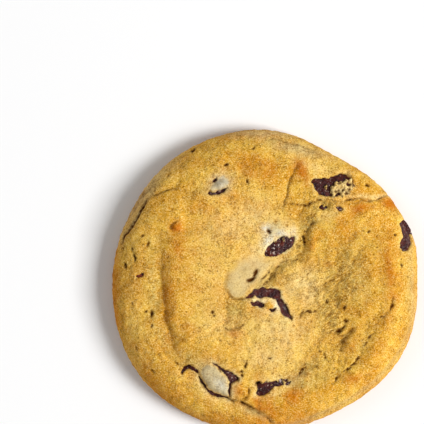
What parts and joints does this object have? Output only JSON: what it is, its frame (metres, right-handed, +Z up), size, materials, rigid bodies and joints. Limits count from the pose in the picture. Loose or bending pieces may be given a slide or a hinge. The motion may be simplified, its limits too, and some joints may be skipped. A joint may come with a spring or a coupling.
{
  "type": "chocolate chip cookie",
  "caption": "Round soft-baked cookie with a broad, folded, golden-brown rim and dark chocolate chips set in its top, edge and flat underside.",
  "frame": {"origin": "middle of the cookie's outline, on the flat surface that it rests on", "axes": "+Z up out of the baked top; +X towards the chip in the right edge and +Y towards the pair of chips in the upper half, as the cookie is seen from above"},
  "size_m": [0.0801, 0.0793, 0.0136],
  "materials": {
    "dough": "matte",
    "chocolate": "satin"
  },
  "bodies": {
    "root": {"dough": "dough", "chip_upper_right": "chocolate", "chip_upper_right_fragment": "chocolate", "chip_centre": "chocolate", "chip_hooked": "chocolate", "chip_right_edge": "chocolate", "chip_bottom": "chocolate", "chip_lower_left": "chocolate", "chip_lower_left_sliver": "chocolate", "chip_upper_left": "chocolate", "chip_left_fleck": "chocolate", "chip_base_left": "chocolate", "chip_base_front": "chocolate", "chip_base_right": "chocolate"}
  },
  "joints": []
}
